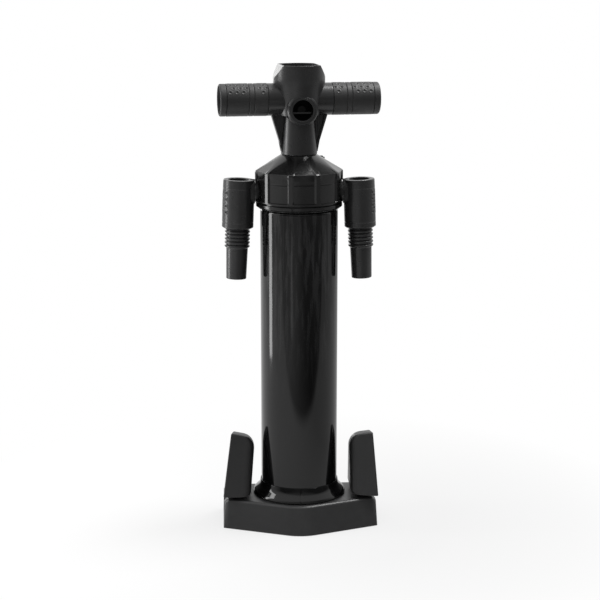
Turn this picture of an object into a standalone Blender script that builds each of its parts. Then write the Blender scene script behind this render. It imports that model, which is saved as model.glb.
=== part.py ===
"""Double-action hand pump for inflating, with a T-handle and two folding feet.

Metres, +Z up. The origin is on the barrel's axis, on the floor. -Y is the front,
+X is the right-hand side. The pump is at rest: handle pushed home, feet folded up.
"""
import math

import bmesh
import bpy
from mathutils import Matrix, Vector

for leftover in list(bpy.data.objects):
    bpy.data.objects.remove(leftover, do_unlink=True)

# Driving dimensions, all in metres and radians
GAP = 0.0003

BARREL_RADIUS = 0.040
BARREL_BORE = 0.0375
BARREL_BOTTOM = 0.033
BARREL_TOP = 0.3345
LINER_RADIUS = 0.031
LINER_BORE = 0.029
LINER_TOP = 0.3377
LINER_RIB = 0.003

BASE_HALF_WIDTH = 0.0808
BASE_SIDE_FRONT = 0.0358
BASE_NOSE = 0.0682
BASE_NOSE_RADIUS = 0.040
BASE_BACK = 0.0262
BASE_BULGE = 0.051
BASE_BOTTOM = 0.0028
BASE_TOP = 0.0284
BASE_LEAN = 0.0105
BASE_CEILING = 0.025
PLATE_TOP = 0.0025
PLATE_INSET = 0.0015
SCREW_SPREAD = 0.0308
SCREW_RADIUS = 0.0017
SCREW_HEAD = 0.0038

FLANGE_RADIUS = 0.0488
FLANGE_TOP = 0.0405
FLANGE_BORE = 0.034

HINGE_X = 0.0673
HINGE_Z = 0.016
HINGE_PIN = 0.003
HINGE_PIN_FRONT = 0.026
HINGE_PIN_BACK = 0.0245
SHOULDER_RADIUS = 0.0150
LUG_RADIUS = 0.0065
LUG_HALF_WIDTH = 0.015
FOOT_HEEL = 0.0159
FOOT_TIP = 0.0757
FOOT_SOLE = 0.0157
FOOT_HEEL_TREAD = 0.0122
FOOT_TIP_TREAD = 0.0095
FOOT_HEEL_FRONT = 0.032
FOOT_HEEL_BACK = 0.0245
FOOT_TIP_HALF_DEPTH = 0.0062
LEFT_FOOT_LEAN = math.radians(8.0)
RIGHT_FOOT_LEAN = math.radians(3.5)

CAP_RADIUS = 0.0453
CAP_TOP = 0.3877
CAP_NECK = 0.0184
CAP_EAVES = 0.3717
CAP_UNDERSIDE = 0.3363
CAP_SPIGOT = 0.0372
CAP_SPIGOT_BORE = 0.0352
CAP_SPIGOT_BOTTOM = 0.3183
CAP_CHAMBER = 0.041
CAP_RIBS = 10
CAP_RIB_HALF_ANGLE = math.radians(3.4)
CAP_PANEL_DEPTH = 0.0010
BUSH_RADIUS = 0.016
BUSH_BOTTOM = 0.3715

PORT_Z = 0.3505
PORT_HOLE = 0.0116
ELBOW_X = 0.062
ELBOW_SPLAY = math.radians(2.0)
ELBOW_RADIUS = 0.0161
ELBOW_SOCKET = 0.0109
ELBOW_BORE = 0.008
ELBOW_TOP = 0.0125
ELBOW_BOTTOM = -0.0905
ELBOW_RING_RADIUS = 0.01295
ELBOW_RING_STEP = 0.0038
ELBOW_RING_COUNT = 5
STUB_RADIUS = 0.0103
STUB_BORE = 0.0074
STUB_REACH = 0.0205

MODE_PLUG_AT = (0.020, 0.026)
MODE_PLUG_SEAT = 0.379
MODE_PLUG_KNOB = 0.0075
MODE_PLUG_STEM = 0.005
MODE_PLUG_DEPTH = 0.006

ROD_RADIUS = 0.011
ROD_BORE = 0.009
ROD_BOTTOM = 0.0663
ROD_TOP = 0.452
PISTON_RADIUS = 0.0283
PISTON_BOTTOM = 0.050
PISTON_PLATE = 0.0057
PISTON_GROOVE = 0.0222
SEAL_RADIUS = 0.0287
BOLT_RADIUS = 0.005

VALVE_DISC_THICKNESS = 0.0015
BOTTOM_VALVE_X = 0.015
TOP_VALVE_X = 0.022
BLOCK_TOP = 0.044
TOP_PLATE_BOTTOM = 0.338
TOP_PLATE_TOP = 0.344

HANDLE_TURN = math.radians(7.0)
HANDLE_TOP = 0.480
HANDLE_NECK_BOTTOM = 0.3884
HANDLE_NECK = 0.0160
HANDLE_COLLAR = 0.0181
HUB_RADIUS = 0.0256
HUB_CONE_FOOT = 0.0204
HUB_CONE_BOTTOM = 0.4285
HUB_CONE_TOP = 0.461
HUB_FLAT_TOP = 0.01825
HUB_FLAT_BOTTOM = 0.4675
GRIP_Z = 0.4445
GRIP_RADIUS = 0.0165
GRIP_CORE = 0.013
GRIP_START = 0.0334
GRIP_END = 0.0752
GRIP_TIP = 0.0820
SOCKET_Z = 0.435
SOCKET_RADIUS = 0.0105
SOCKET_RIM = 0.0145
SOCKET_FRONT = 0.0245
SOCKET_FLOOR = 0.0135

ROUND = 32
SMALL_ROUND = 16
FULL_TURN = 2 * math.pi


# Materials, one for each finish
def finish(name, colour, roughness, metallic=0.0):
    """A Principled material of one colour, with its roughness and metallic value."""
    made = bpy.data.materials.new(name)
    made.use_nodes = True
    shader = made.node_tree.nodes["Principled BSDF"]
    shader.inputs["Base Color"].default_value = (*colour, 1.0)
    shader.inputs["Roughness"].default_value = roughness
    shader.inputs["Metallic"].default_value = metallic
    return made


GLOSS_BLACK = finish("gloss_black", (0.006, 0.006, 0.007), 0.06)
CAP_BLACK = finish("cap_black", (0.012, 0.012, 0.013), 0.28)
SATIN_BLACK = finish("satin_black", (0.016, 0.016, 0.017), 0.42)
GRIP_BLACK = finish("grip_black", (0.018, 0.018, 0.019), 0.55)
BASE_GREY = finish("base_grey", (0.035, 0.035, 0.036), 0.6)
RUBBER = finish("rubber", (0.012, 0.012, 0.012), 0.7)
INNER_PLASTIC = finish("inner_plastic", (0.55, 0.55, 0.53), 0.45)
ROD_ALUMINIUM = finish("rod_aluminium", (0.75, 0.76, 0.77), 0.25, 1.0)
STEEL = finish("steel", (0.55, 0.55, 0.56), 0.3, 1.0)


# Shaping tools
def keep(name, bm, material, parent=None):
    """Turn a bmesh into a named object whose faces point outwards."""
    bmesh.ops.remove_doubles(bm, verts=bm.verts, dist=1e-6)
    stray = [edge for edge in bm.edges if not edge.link_faces]
    bmesh.ops.delete(bm, geom=stray, context="EDGES")
    bmesh.ops.recalc_face_normals(bm, faces=bm.faces)
    mesh = bpy.data.meshes.new(name)
    bm.to_mesh(mesh)
    bm.free()
    mesh.shade_smooth()
    mesh.set_sharp_from_angle(angle=math.radians(35))
    mesh.materials.append(material)
    made = bpy.data.objects.new(name, mesh)
    bpy.context.scene.collection.objects.link(made)
    made.parent = parent
    return made


def empty(name, location, angle=0.0, axis="Z", parent=None):
    """An empty on a joint's axis, which carries the pieces that move together."""
    made = bpy.data.objects.new(name, None)
    bpy.context.scene.collection.objects.link(made)
    made.parent = parent
    made.matrix_local = Matrix.Translation(location) @ Matrix.Rotation(angle, 4, axis)
    return made


def turned_mesh(outline, steps=ROUND, axis="Z", centre=(0, 0, 0)):
    """A (radius, height) outline spun once round an axis through centre.

    The outline closes on itself, or starts and ends on the axis.
    """
    bm = bmesh.new()
    points = [bm.verts.new((radius, 0, height)) for radius, height in outline]
    pairs = list(zip(points, points[1:]))
    if outline[0][0] > 0:
        pairs.append((points[-1], points[0]))
    edges = [bm.edges.new(pair) for pair in pairs]
    bmesh.ops.spin(bm, geom=points + edges, cent=(0, 0, 0), axis=(0, 0, 1),
                   angle=FULL_TURN, steps=steps, use_merge=True)
    aim = {"X": Matrix.Rotation(math.pi / 2, 4, "Y"),
           "Y": Matrix.Rotation(-math.pi / 2, 4, "X"),
           "Z": Matrix.Identity(4)}[axis]
    bmesh.ops.transform(bm, matrix=Matrix.Translation(centre) @ aim, verts=bm.verts)
    return bm


def turned(name, outline, material, steps=ROUND, axis="Z", centre=(0, 0, 0), parent=None):
    """An object made by turned_mesh."""
    return keep(name, turned_mesh(outline, steps, axis, centre), material, parent)


def ring(inner, outer, low, high):
    """The outline of a plain ring."""
    return [(inner, low), (outer, low), (outer, high), (inner, high)]


def disc(radius, low, high):
    """The outline of a plain solid cylinder."""
    return [(0, low), (radius, low), (radius, high), (0, high)]


def slab_mesh(outline, low, high, plane="XY"):
    """A flat outline carried straight from low to high, square to its plane."""
    bm = bmesh.new()
    place = {"XY": lambda u, v: (u, v, low), "XZ": lambda u, v: (u, low, v),
             "YZ": lambda u, v: (low, u, v)}[plane]
    face = bm.faces.new([bm.verts.new(place(u, v)) for u, v in outline])
    lift = {"XY": Vector((0, 0, 1)), "XZ": Vector((0, 1, 0)), "YZ": Vector((1, 0, 0))}[plane]
    grown = bmesh.ops.extrude_face_region(bm, geom=[face])["geom"]
    top = [item for item in grown if isinstance(item, bmesh.types.BMVert)]
    bmesh.ops.translate(bm, vec=lift * (high - low), verts=top)
    bmesh.ops.recalc_face_normals(bm, faces=bm.faces)
    return bm


def box_mesh(low, high):
    """A box between two corners."""
    outline = [(low[0], low[1]), (high[0], low[1]), (high[0], high[1]), (low[0], high[1])]
    return slab_mesh(outline, low[2], high[2])


def arc(centre, radius, start, end, steps):
    """Points of a circular arc, both ends included, angles in degrees."""
    angles = [math.radians(start + (end - start) * step / steps) for step in range(steps + 1)]
    return [(centre[0] + radius * math.cos(a), centre[1] + radius * math.sin(a)) for a in angles]


def combine(body, operation, tool, solver="EXACT"):
    """Join a bmesh to an object, or cut it out, and keep the result as the object's mesh."""
    helper = keep("tool", tool, body.data.materials[0], body.parent)
    step = body.modifiers.new("step", "BOOLEAN")
    step.operation = operation
    step.solver = solver
    step.object = helper
    bpy.context.view_layer.update()
    result = body.evaluated_get(bpy.context.evaluated_depsgraph_get())
    body.data = bpy.data.meshes.new_from_object(result)
    body.modifiers.clear()
    body.data.name = body.name
    bpy.data.objects.remove(helper, do_unlink=True)
    body.data.shade_smooth()
    body.data.set_sharp_from_angle(angle=math.radians(35))


# Base: a V-nosed moulding with a front that leans back and ends rounded about the feet's hinges
def base_plan(inset):
    """The base seen from above: a rounded nose in front, a round bulge in the straight back."""
    half_width = BASE_HALF_WIDTH - inset
    side = BASE_SIDE_FRONT - inset / 2
    nose = BASE_NOSE - inset
    slope = math.degrees(math.atan2(nose - side, half_width))
    middle = nose - BASE_NOSE_RADIUS / math.cos(math.radians(slope))
    front = arc((0, -middle), BASE_NOSE_RADIUS, -90 - slope, -90 + slope, 6)
    back = BASE_BACK - inset
    turn = math.degrees(math.asin(back / (BASE_BULGE - inset)))
    bulge = arc((0, 0), BASE_BULGE - inset, turn, 180 - turn, 12)
    right = [(half_width, -side), (half_width, back)]
    left = [(-half_width, back), (-half_width, -side)]
    return front + right + bulge + left


base_block = slab_mesh(base_plan(0), BASE_BOTTOM, BASE_TOP)
for corner in base_block.verts:
    if corner.co.z > BASE_CEILING and corner.co.y < -BASE_SIDE_FRONT + GAP:
        corner.co.y += BASE_LEAN
base = keep("base", base_block, BASE_GREY)
right_shoulder = arc((HINGE_X, HINGE_Z), SHOULDER_RADIUS, 28, 62, 5)
left_shoulder = arc((-HINGE_X, HINGE_Z), SHOULDER_RADIUS, 118, 152, 5)
skirting = [(left_shoulder[-1][0], 0), (right_shoulder[0][0], 0)]
combine(base, "INTERSECT", slab_mesh(skirting + right_shoulder + left_shoulder,
                                     -BASE_NOSE, BASE_NOSE, "XZ"))
CELL_WALL = 0.00125
CELL_END = 0.042
for low_x, high_x in ((-CELL_END, -CELL_WALL), (CELL_WALL, CELL_END)):
    for low_y, high_y in ((-0.024, -CELL_WALL), (CELL_WALL, 0.024)):
        combine(base, "DIFFERENCE", box_mesh((low_x, low_y, 0), (high_x, high_y, BASE_CEILING)))
for corner_x in (-SCREW_SPREAD, SCREW_SPREAD):
    for corner_y in (-SCREW_SPREAD, SCREW_SPREAD):
        screw_hole = disc(SCREW_RADIUS + GAP, 0, BASE_TOP + 0.01)
        combine(base, "DIFFERENCE", turned_mesh(screw_hole, 12, "Z", (corner_x, corner_y, 0)))
for side in (-1, 1):
    inner = side * (HINGE_X - 0.009)
    outer = side * (BASE_HALF_WIDTH + 0.01)
    slot = box_mesh((min(inner, outer), -LUG_HALF_WIDTH - 2 * GAP, HINGE_Z - LUG_RADIUS - 0.001),
                    (max(inner, outer), LUG_HALF_WIDTH + 2 * GAP, BASE_TOP + 0.01))
    combine(base, "DIFFERENCE", slot)
    pin_hole = turned_mesh(disc(HINGE_PIN + GAP, -HINGE_PIN_FRONT - GAP, BASE_NOSE), 16, "Y",
                           (side * HINGE_X, 0, HINGE_Z))
    combine(base, "DIFFERENCE", pin_hole)

# Base plate and the screws that clamp plate, base and flange together
base_plate = keep("base_plate", slab_mesh(base_plan(PLATE_INSET), 0, PLATE_TOP), BASE_GREY)
SCREW_HEAD_BOTTOM = 0.0005
SCREW_HEAD_TOP = 0.0016
SCREW_TIP = 0.0322
screw_outline = [(0, SCREW_HEAD_BOTTOM), (SCREW_HEAD, SCREW_HEAD_BOTTOM), (SCREW_HEAD, SCREW_HEAD_TOP),
                 (SCREW_RADIUS, SCREW_HEAD_TOP), (SCREW_RADIUS, SCREW_TIP), (0, SCREW_TIP)]
counterbore = [(0, -0.001), (SCREW_HEAD + GAP, -0.001), (SCREW_HEAD + GAP, SCREW_HEAD_TOP + GAP),
               (SCREW_RADIUS + GAP, SCREW_HEAD_TOP + GAP), (SCREW_RADIUS + GAP, 0.01), (0, 0.01)]
screw_places = [(x, y, 0) for x in (-SCREW_SPREAD, SCREW_SPREAD) for y in (-SCREW_SPREAD, SCREW_SPREAD)]
for number, place in enumerate(screw_places, 1):
    combine(base_plate, "DIFFERENCE", turned_mesh(counterbore, 12, "Z", place))
    turned(f"base_screw_{number}", screw_outline, STEEL, 12, "Z", place)

# Flange: flared ring that stands the barrel on the base
FLANGE_FOOT = BASE_TOP + GAP
FLANGE_LEDGE = BARREL_BOTTOM - GAP
flange_outline = [(FLANGE_BORE, FLANGE_FOOT), (FLANGE_RADIUS, FLANGE_FOOT), (FLANGE_RADIUS - 0.0004, 0.0305),
                  (0.0454, 0.0345), (0.0428, 0.0382), (0.0414, FLANGE_TOP), (BARREL_RADIUS + GAP, FLANGE_TOP),
                  (BARREL_RADIUS + GAP, FLANGE_LEDGE), (FLANGE_BORE, FLANGE_LEDGE)]
foot_flange = turned("foot_flange", flange_outline, GLOSS_BLACK)
for place in screw_places:
    blind_hole = turned_mesh(disc(SCREW_RADIUS + GAP, 0, SCREW_TIP + GAP), 12, "Z", place)
    combine(foot_flange, "DIFFERENCE", blind_hole)

# Barrel, and the liner whose two ribs part the delivery side from the suction side
turned("barrel", ring(BARREL_BORE, BARREL_RADIUS, BARREL_BOTTOM, BARREL_TOP), GLOSS_BLACK, 48)
LINER_BOTTOM = BLOCK_TOP + GAP
liner = turned("cylinder_liner", ring(LINER_BORE, LINER_RADIUS, LINER_BOTTOM, LINER_TOP), INNER_PLASTIC)
rib_root = (LINER_BORE + LINER_RADIUS) / 2
rib_reach = BARREL_BORE - 2 * GAP
rib_step = CAP_SPIGOT_BORE - 2 * GAP
rib_shoulder = CAP_SPIGOT_BOTTOM - 0.002
rib_outline = [(rib_root, LINER_BOTTOM), (rib_reach, LINER_BOTTOM), (rib_reach, rib_shoulder),
               (rib_step, rib_shoulder), (rib_step, LINER_TOP - 0.004), (rib_root, LINER_TOP - 0.004)]
for side in (-1, 1):
    rib = slab_mesh([(side * y, z) for y, z in rib_outline], -LINER_RIB / 2, LINER_RIB / 2, "YZ")
    combine(liner, "UNION", rib)

# Bottom gasket and valve block
turned("bottom_gasket", ring(0.016, FLANGE_BORE - GAP, FLANGE_FOOT, BARREL_BOTTOM - GAP), RUBBER)
BLOCK_BOTTOM = BARREL_BOTTOM
BOTTOM_THROAT = 0.005
BOTTOM_POCKET = 0.009
BOTTOM_DISC = 0.0078
DELIVERY_ROOF = 0.039
SUCTION_FLOOR = 0.041
CHANNEL_ROOF = 0.037
valve_block = turned("bottom_valve_block", disc(BARREL_BORE - GAP, BLOCK_BOTTOM, BLOCK_TOP), INNER_PLASTIC)
below, above = BLOCK_BOTTOM - 0.001, BLOCK_TOP + 0.001
delivery_at = (-BOTTOM_VALVE_X, 0, 0)
suction_at = (BOTTOM_VALVE_X, 0, 0)
combine(valve_block, "DIFFERENCE", turned_mesh(disc(BOTTOM_POCKET, below, DELIVERY_ROOF), SMALL_ROUND,
                                               "Z", delivery_at))
combine(valve_block, "DIFFERENCE", turned_mesh(disc(BOTTOM_THROAT, below, above), 12, "Z", delivery_at))
combine(valve_block, "DIFFERENCE", turned_mesh(disc(BOTTOM_POCKET, SUCTION_FLOOR, above), SMALL_ROUND,
                                               "Z", suction_at))
combine(valve_block, "DIFFERENCE", turned_mesh(disc(BOTTOM_THROAT, below, above), 12, "Z", suction_at))
CHANNEL_HALF_WIDTH = 0.004
for side in (-1, 1):
    near, mid, far = side * BOTTOM_VALVE_X, side * 0.0325, side * 0.039
    channel = box_mesh((min(near, far), -CHANNEL_HALF_WIDTH, below),
                       (max(near, far), CHANNEL_HALF_WIDTH, CHANNEL_ROOF))
    riser = box_mesh((min(mid, far), -CHANNEL_HALF_WIDTH, below), (max(mid, far), CHANNEL_HALF_WIDTH, above))
    combine(valve_block, "DIFFERENCE", channel)
    combine(valve_block, "DIFFERENCE", riser)

# Top valve plate with a wall that parts delivery from suction in the cap
TOP_THROAT = 0.0045
TOP_POCKET = 0.007
TOP_DISC = 0.0062
TOP_PLATE_MIDDLE = (TOP_PLATE_BOTTOM + TOP_PLATE_TOP) / 2
ROD_HOLE = ROD_RADIUS + 0.0004
top_plate = turned("top_valve_plate", ring(ROD_HOLE, 0.033, TOP_PLATE_BOTTOM, TOP_PLATE_TOP), INNER_PLASTIC)
below, above = TOP_PLATE_BOTTOM - 0.001, TOP_PLATE_TOP + 0.001
for side, low, high in ((-1, TOP_PLATE_MIDDLE, above), (1, below, TOP_PLATE_MIDDLE)):
    seat_at = (side * TOP_VALVE_X, 0, 0)
    combine(top_plate, "DIFFERENCE", turned_mesh(disc(TOP_POCKET, low, high), SMALL_ROUND, "Z", seat_at))
    combine(top_plate, "DIFFERENCE", turned_mesh(disc(TOP_THROAT, below, above), 12, "Z", seat_at))
for low_y, high_y in ((-0.036, -0.0165), (0.0165, 0.036)):
    wall = box_mesh((-CELL_WALL, low_y, TOP_PLATE_MIDDLE), (CELL_WALL, high_y, TOP_PLATE_TOP + 0.012))
    combine(top_plate, "UNION", wall)

# Valve discs: thin rubber discs that lift off their seats
turned("bottom_delivery_valve",
       disc(BOTTOM_DISC, DELIVERY_ROOF - GAP - VALVE_DISC_THICKNESS, DELIVERY_ROOF - GAP),
       RUBBER, 12, "Z", delivery_at)
turned("bottom_suction_valve",
       disc(BOTTOM_DISC, SUCTION_FLOOR + GAP, SUCTION_FLOOR + GAP + VALVE_DISC_THICKNESS),
       RUBBER, 12, "Z", suction_at)
turned("top_delivery_valve",
       disc(TOP_DISC, TOP_PLATE_MIDDLE + GAP, TOP_PLATE_MIDDLE + GAP + VALVE_DISC_THICKNESS),
       RUBBER, 12, "Z", (-TOP_VALVE_X, 0, 0))
turned("top_suction_valve",
       disc(TOP_DISC, TOP_PLATE_MIDDLE - GAP - VALVE_DISC_THICKNESS, TOP_PLATE_MIDDLE - GAP),
       RUBBER, 12, "Z", (TOP_VALVE_X, 0, 0))


# Cap: conical roof over ten flat panels, which narrow ribs part from each other
def ribbed_mesh(outline):
    """An outline turned round Z, where a point's third value flattens it between the ribs."""
    bm = bmesh.new()
    pitch = FULL_TURN / CAP_RIBS
    flank = CAP_RIB_HALF_ANGLE * 1.3
    half_panel = pitch / 2 - flank
    stations = [(-CAP_RIB_HALF_ANGLE, 0), (CAP_RIB_HALF_ANGLE, 0)]
    stations += [(pitch / 2 + part * half_panel, 1) for part in (-1, 0, 1)]
    columns = []
    for rib_number in range(CAP_RIBS):
        for offset, sunk in stations:
            angle = rib_number * pitch + offset
            flat = math.cos(half_panel) / math.cos(offset - pitch / 2)
            column = []
            for radius, height, panel in outline:
                reach = radius
                if panel and sunk:
                    reach = (radius - CAP_PANEL_DEPTH) * flat
                column.append(bm.verts.new((reach * math.cos(angle), reach * math.sin(angle), height)))
            columns.append(column)
    count = len(outline)
    for left, right in zip(columns, columns[1:] + columns[:1]):
        for row in range(count):
            after = (row + 1) % count
            bm.faces.new((left[row], right[row], right[after], left[after]))
    return bm


CAP_ROOF_PITCH = (CAP_TOP - CAP_EAVES) / (CAP_RADIUS - CAP_NECK)
NECK_WALL = BUSH_RADIUS + GAP
chamber_roof = CAP_TOP - (CAP_CHAMBER - CAP_NECK) * CAP_ROOF_PITCH - 0.005
neck_tube = 0.0195
cap_outline = [(NECK_WALL, CAP_TOP, 0), (CAP_NECK, CAP_TOP, 0), (CAP_RADIUS - 0.0012, CAP_EAVES + 0.0008, 1),
               (CAP_RADIUS, CAP_EAVES - 0.001, 1), (CAP_RADIUS, 0.3415, 1), (0.0434, 0.3373, 0),
               (0.043, CAP_UNDERSIDE, 0), (CAP_SPIGOT, CAP_UNDERSIDE, 0), (CAP_SPIGOT, CAP_SPIGOT_BOTTOM, 0),
               (CAP_SPIGOT_BORE, CAP_SPIGOT_BOTTOM, 0), (CAP_SPIGOT_BORE, 0.339, 0), (CAP_CHAMBER, 0.343, 0),
               (CAP_CHAMBER, chamber_roof, 0), (neck_tube, CAP_TOP - 0.0065, 0), (neck_tube, BUSH_BOTTOM, 0),
               (NECK_WALL, BUSH_BOTTOM, 0)]
cap = keep("cap", ribbed_mesh(cap_outline), CAP_BLACK)
for side in (-1, 1):
    port = turned_mesh(disc(PORT_HOLE, -0.010, 0.010), 16, "X", (side * 0.0485, 0, PORT_Z))
    combine(cap, "DIFFERENCE", port)
plug_at = (*MODE_PLUG_AT, 0)
plug_boss = disc(MODE_PLUG_KNOB + 0.002, MODE_PLUG_SEAT - 0.0095, MODE_PLUG_SEAT)
spot_face = disc(MODE_PLUG_KNOB + 2 * GAP, MODE_PLUG_SEAT, CAP_TOP + 0.01)
stem_hole = disc(MODE_PLUG_STEM + GAP, MODE_PLUG_SEAT - MODE_PLUG_DEPTH - 0.001, CAP_TOP)
combine(cap, "UNION", turned_mesh(plug_boss, SMALL_ROUND, "Z", plug_at))
combine(cap, "DIFFERENCE", turned_mesh(spot_face, SMALL_ROUND, "Z", plug_at))
combine(cap, "DIFFERENCE", turned_mesh(stem_hole, SMALL_ROUND, "Z", plug_at))

# Collar with its small pointer, and the gasket on the barrel's end
COLLAR_TOP = CAP_UNDERSIDE - 0.0005
COLLAR_BOTTOM = 0.3305
COLLAR_RADIUS = 0.0424
POINTER_X = -0.009
POINTER_HALF_WIDTH = 0.002
collar_outline = [(BARREL_RADIUS + GAP, COLLAR_BOTTOM), (COLLAR_RADIUS - 0.0005, COLLAR_BOTTOM),
                  (COLLAR_RADIUS, COLLAR_BOTTOM + 0.0007), (COLLAR_RADIUS, COLLAR_BOTTOM + 0.0018),
                  (COLLAR_RADIUS - 0.0014, COLLAR_TOP), (BARREL_RADIUS + GAP, COLLAR_TOP)]
collar = turned("cap_collar", collar_outline, GLOSS_BLACK, 48)
pointer = [(POINTER_X - POINTER_HALF_WIDTH, COLLAR_TOP - 0.001),
           (POINTER_X + POINTER_HALF_WIDTH, COLLAR_TOP - 0.001), (POINTER_X, COLLAR_BOTTOM + 0.001)]
combine(collar, "UNION", slab_mesh(pointer, -COLLAR_RADIUS - 0.0002, -COLLAR_RADIUS + 0.002, "XZ"))
turned("cap_gasket", ring(0.0376, 0.0399, BARREL_TOP + GAP, CAP_UNDERSIDE - GAP), RUBBER)

# Rod bush in the cap's neck, and the seal on the top valve plate
turned("rod_bush", ring(ROD_HOLE, BUSH_RADIUS, BUSH_BOTTOM, CAP_TOP - GAP), INNER_PLASTIC, 24)
turned("rod_seal", ring(ROD_HOLE, 0.0147, TOP_PLATE_TOP + GAP, TOP_PLATE_TOP + 0.004), RUBBER, 24)

# Mode plug: stem with a round knob and a finger bar across it
mode_axis = empty("mode_plug_axis", (*MODE_PLUG_AT, MODE_PLUG_SEAT))
plug_outline = [(0, -MODE_PLUG_DEPTH), (MODE_PLUG_STEM, -MODE_PLUG_DEPTH), (MODE_PLUG_STEM, GAP),
                (MODE_PLUG_KNOB, GAP),
                (MODE_PLUG_KNOB, 0.003), (MODE_PLUG_KNOB - 0.001, 0.004), (0, 0.004)]
mode_plug = turned("mode_plug", plug_outline, SATIN_BLACK, SMALL_ROUND, parent=mode_axis)
combine(mode_plug, "UNION", box_mesh((-0.006, -0.0013, 0.003), (0.006, 0.0013, 0.0056)))

# Elbows: hose fittings that turn on stubs in the cap's ports
ring_top = -0.0394
elbow_outline = [(ELBOW_SOCKET, ELBOW_TOP), (ELBOW_RADIUS - 0.0006, ELBOW_TOP),
                 (ELBOW_RADIUS, ELBOW_TOP - 0.001), (ELBOW_RADIUS, -0.0365), (0.0115, ring_top)]
for ring_number in range(ELBOW_RING_COUNT):
    level = ring_top - ring_number * ELBOW_RING_STEP
    elbow_outline += [(ELBOW_RING_RADIUS, level - 0.0008), (ELBOW_RING_RADIUS, level - 0.0028),
                      (0.0112, level - 0.0036)]
elbow_outline += [(0.0104, ELBOW_BOTTOM), (ELBOW_BORE, ELBOW_BOTTOM), (ELBOW_BORE, -0.015),
                  (ELBOW_SOCKET, -0.012)]
for name, side in (("left", -1), ("right", 1)):
    elbow_axis = empty(f"{name}_elbow_axis", (side * ELBOW_X, 0, PORT_Z))
    tube = turned_mesh(elbow_outline, 20)
    bmesh.ops.transform(tube, matrix=Matrix.Rotation(-side * ELBOW_SPLAY, 4, "Y"), verts=tube.verts)
    elbow = keep(f"{name}_elbow", tube, SATIN_BLACK, elbow_axis)
    stub = sorted((-side * 0.0130, -side * STUB_REACH))
    combine(elbow, "UNION", turned_mesh(disc(STUB_RADIUS, *stub), 16, "X"))
    passage = sorted((0, -side * (STUB_REACH + 0.001)))
    combine(elbow, "DIFFERENCE", turned_mesh(disc(STUB_BORE, *passage), 16, "X"))
    seal_span = sorted((-side * 0.0180, -side * 0.0200))
    turned(f"{name}_elbow_seal", ring(STUB_RADIUS + GAP, PORT_HOLE - GAP, *seal_span), RUBBER, 16, "X",
           parent=elbow_axis)

# Feet: wedges on a lug, each on a pin through the base
for name, side, lean in (("left", -1, LEFT_FOOT_LEAN), ("right", 1, -RIGHT_FOOT_LEAN)):
    foot_axis = empty(f"{name}_foot_axis", (side * HINGE_X, 0, HINGE_Z), lean, "Y")
    wedge = bmesh.new()
    for level, tread, front, back in ((FOOT_HEEL, FOOT_HEEL_TREAD, FOOT_HEEL_FRONT, FOOT_HEEL_BACK),
                                      (FOOT_TIP, FOOT_TIP_TREAD, FOOT_TIP_HALF_DEPTH, FOOT_TIP_HALF_DEPTH)):
        for reach in (FOOT_SOLE, -tread):
            for depth in (-front, back):
                wedge.verts.new((side * reach, depth, level))
    bmesh.ops.convex_hull(wedge, input=wedge.verts)
    bmesh.ops.dissolve_limit(wedge, angle_limit=0.01, verts=wedge.verts, edges=wedge.edges)
    tread_edges = [edge for edge in wedge.edges
                   if all(corner.co.x * side < 0 for corner in edge.verts)
                   and any(corner.co.z > (FOOT_HEEL + FOOT_TIP) / 2 for corner in edge.verts)]
    bmesh.ops.bevel(wedge, geom=tread_edges, offset=0.0045, offset_type="OFFSET", segments=4, profile=0.5,
                    affect="EDGES", clamp_overlap=True)
    foot = keep(f"{name}_foot", wedge, BASE_GREY, foot_axis)
    lug_top = FOOT_HEEL + 0.003
    lug = arc((0, 0), LUG_RADIUS, 180, 360, 8) + [(LUG_RADIUS, lug_top), (-LUG_RADIUS, lug_top)]
    combine(foot, "UNION", slab_mesh(lug, -LUG_HALF_WIDTH, LUG_HALF_WIDTH, "XZ"))
    pin_hole = turned_mesh(disc(HINGE_PIN + GAP, -0.03, 0.03), 16, "Y")
    combine(foot, "DIFFERENCE", pin_hole)
    turned(f"{name}_hinge_pin", disc(HINGE_PIN, -HINGE_PIN_FRONT, HINGE_PIN_BACK), STEEL, 16, "Y",
           (side * HINGE_X, 0, HINGE_Z))

# Piston: two plates bolted to the rod, with a lip seal held between them
stroke_axis = empty("stroke_axis", (0, 0, 0))
handle_axis = empty("handle_axis", (0, 0, 0), HANDLE_TURN, "Z", stroke_axis)
GROOVE_FLOOR = PISTON_BOTTOM + PISTON_PLATE
GROOVE_ROOF = GROOVE_FLOOR + 0.0043
PISTON_TOP = GROOVE_ROOF + GAP + PISTON_PLATE
BOLT_HOLE = BOLT_RADIUS + GAP
turned("piston_seal", [(PISTON_GROOVE + GAP, GROOVE_FLOOR + GAP), (SEAL_RADIUS - 0.001, GROOVE_FLOOR + GAP),
                       (SEAL_RADIUS, GROOVE_FLOOR + 0.0012), (SEAL_RADIUS, GROOVE_ROOF - 0.0012),
                       (SEAL_RADIUS - 0.001, GROOVE_ROOF - GAP), (PISTON_GROOVE + GAP, GROOVE_ROOF - GAP)],
       RUBBER, parent=stroke_axis)
turned("piston_lower", [(BOLT_HOLE, PISTON_BOTTOM), (PISTON_RADIUS, PISTON_BOTTOM),
                        (PISTON_RADIUS, GROOVE_FLOOR), (PISTON_GROOVE, GROOVE_FLOOR),
                        (PISTON_GROOVE, GROOVE_ROOF), (BOLT_HOLE, GROOVE_ROOF)],
       INNER_PLASTIC, parent=handle_axis)
turned("piston_upper", ring(BOLT_HOLE, PISTON_RADIUS, GROOVE_ROOF + GAP, PISTON_TOP), INNER_PLASTIC,
       parent=handle_axis)
BOLT_HEAD = 0.0085
BOLT_TOP = 0.084
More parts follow.
